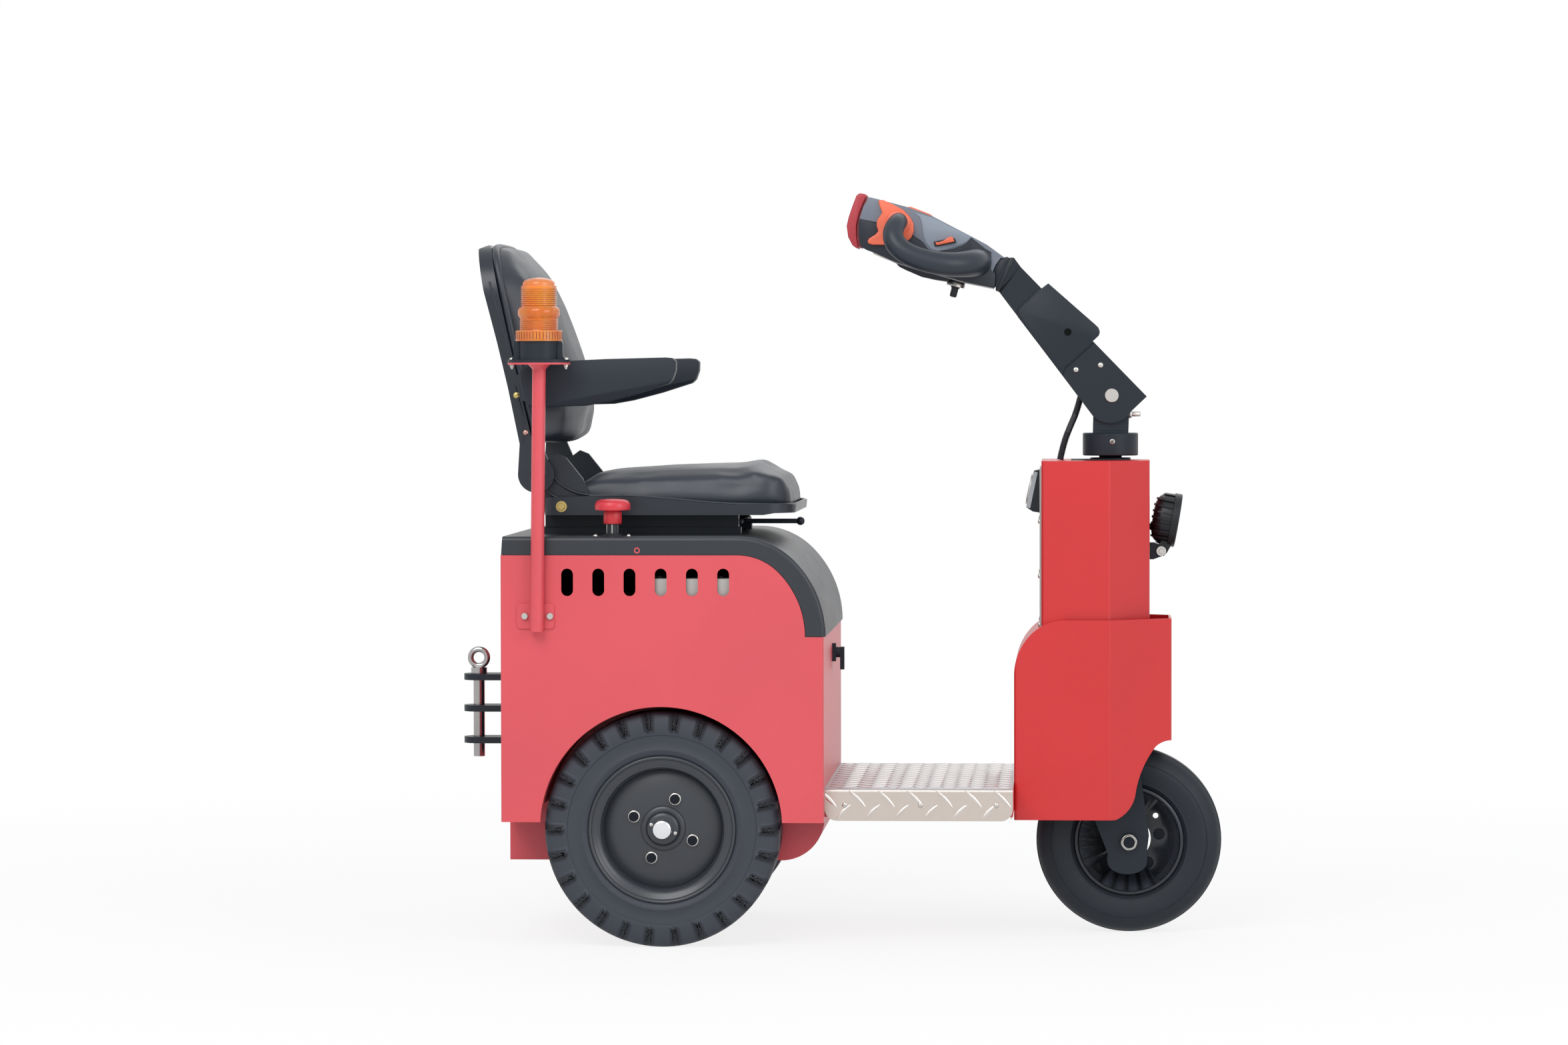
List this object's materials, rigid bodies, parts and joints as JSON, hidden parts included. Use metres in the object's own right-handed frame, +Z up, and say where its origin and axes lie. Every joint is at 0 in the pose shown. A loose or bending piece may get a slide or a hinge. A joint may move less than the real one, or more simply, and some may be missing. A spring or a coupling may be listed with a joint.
{
  "type": "airport tow tractor",
  "caption": "Three-wheeled electric tow tractor with a driver's seat on its battery box, a folding tiller mast, a footplate and a pin hitch behind.",
  "frame": {"origin": "on the floor under the middle of the tractor's box", "axes": "+X forwards, +Y to the driver's left, +Z up"},
  "size_m": [1.2775, 0.6725, 1.2404],
  "materials": {
    "red_paint": "satin coral-red powder coat",
    "black_paint": "fine-textured black powder coat",
    "deck_plastic": "grained dark grey moulded plastic",
    "seat_shell": "black moulded shell",
    "vinyl": "black vinyl with a fine grain",
    "tyre_rubber": "blue-black rubber",
    "rim_paint": "satin black wheel paint",
    "chequer_plate": "raised chequer pattern",
    "bare_steel": "bright zinc plate",
    "amber_lens": "clear amber",
    "tiller_plastic": "dark grey moulded plastic",
    "orange_plastic": "satin orange",
    "red_plastic": "satin red",
    "battery_case": "grey battery lids",
    "motor_case": "black enamel",
    "lamp_body": "black die-cast with a clear front",
    "gauge_plastic": "black plastic",
    "hose_plastic": "black corrugated hose"
  },
  "bodies": {
    "root": {"battery_pack": "battery_case", "beacon_base": "black_paint", "beacon_lens": "amber_lens", "beacon_pole": "red_paint", "charge_gauge": "gauge_plastic", "chassis_frame": "red_paint", "column_back_cover": "black_paint", "column_shell": "red_paint", "deck_hinge_body": "black_paint", "deck_latch": "black_paint", "drive_motor": "motor_case", "footplate": "chequer_plate", "front_cowl": "red_paint", "front_frame": "red_paint", "front_panel": "red_paint", "headlamp": "lamp_body", "headlamp_bracket": "black_paint", "hitch_bracket": "black_paint", "rear_axle": "bare_steel", "rear_panel": "red_paint", "side_panel_left": "red_paint", "side_panel_right": "red_paint"},
    "rear_wheel_right": {"rear_tyre_right": "tyre_rubber", "rear_rim_right": "rim_paint", "rear_hub_right": "rim_paint"},
    "rear_wheel_left": {"rear_tyre_left": "tyre_rubber", "rear_rim_left": "rim_paint", "rear_hub_left": "rim_paint"},
    "steering": {"front_fork": "black_paint", "front_spindle": "bare_steel", "steering_collar": "black_paint", "mast_bracket": "black_paint", "control_hose": "hose_plastic"},
    "front_wheel": {"front_tyre": "tyre_rubber", "front_rim": "rim_paint"},
    "mast": {"mast_arm": "black_paint", "mast_sleeve": "black_paint", "tiller_neck": "black_paint", "tiller_head": "tiller_plastic", "tiller_pad": "red_plastic", "throttle_wings": "orange_plastic", "tiller_grips": "tiller_plastic", "tiller_button": "gauge_plastic"},
    "deck": {"seat_deck": "deck_plastic", "deck_hinge_deck": "black_paint", "seat_rails": "black_paint", "stop_button": "red_plastic"},
    "seat": {"seat_slides": "black_paint", "seat_lever": "black_paint", "seat_pan": "seat_shell", "seat_cushion": "vinyl"},
    "backrest": {"backrest_shell": "seat_shell", "backrest_cushion": "vinyl"},
    "armrest_right": {"armrest_right": "vinyl"},
    "armrest_left": {"armrest_left": "vinyl"},
    "tow_pin": {"tow_pin": "bare_steel"}
  },
  "joints": [
    {"name": "rear_wheel_right_spin", "type": "hinge", "parent": "root", "child": "rear_wheel_right", "pos_m": [-0.28005, -0.21575, 0.1925], "axis": [0, 1, 0], "continuous": true},
    {"name": "rear_wheel_left_spin", "type": "hinge", "parent": "root", "child": "rear_wheel_left", "pos_m": [-0.28005, 0.26825, 0.1925], "axis": [0, 1, 0], "continuous": true},
    {"name": "steering_turn", "type": "hinge", "parent": "root", "child": "steering", "pos_m": [0.45295, 0.02625, 0.7995], "axis": [0, 0, 1], "range_deg": [-38, 38]},
    {"name": "front_wheel_spin", "type": "hinge", "parent": "steering", "child": "front_wheel", "pos_m": [0.48375, 0.02625, 0.155], "axis": [0, 1, 0], "continuous": true},
    {"name": "mast_tilt", "type": "hinge", "parent": "steering", "child": "mast", "pos_m": [0.45485, 0.02625, 0.9002], "axis": [0, 1, 0], "range_deg": [0, 40]},
    {"name": "deck_lift", "type": "hinge", "parent": "root", "child": "deck", "pos_m": [-0.54485, 0.02625, 0.643], "axis": [0, -1, 0], "range_deg": [0, 60]},
    {"name": "seat_slide", "type": "slide", "parent": "deck", "child": "seat", "axis": [1, 0, 0], "range_m": [-0.06, 0.06]},
    {"name": "backrest_recline", "type": "hinge", "parent": "seat", "child": "backrest", "pos_m": [-0.49405, 0.02625, 0.772], "axis": [0, -1, 0], "range_deg": [-15, 12]},
    {"name": "armrest_right_lift", "type": "hinge", "parent": "backrest", "child": "armrest_right", "pos_m": [-0.48805, -0.25095, 0.915], "axis": [0, -1, 0], "range_deg": [0, 95]},
    {"name": "armrest_left_lift", "type": "hinge", "parent": "backrest", "child": "armrest_left", "pos_m": [-0.48805, 0.30345, 0.915], "axis": [0, -1, 0], "range_deg": [0, 95]},
    {"name": "tow_pin_lift", "type": "slide", "parent": "root", "child": "tow_pin", "axis": [0, 0, 1], "range_m": [0, 0.145]}
  ]
}
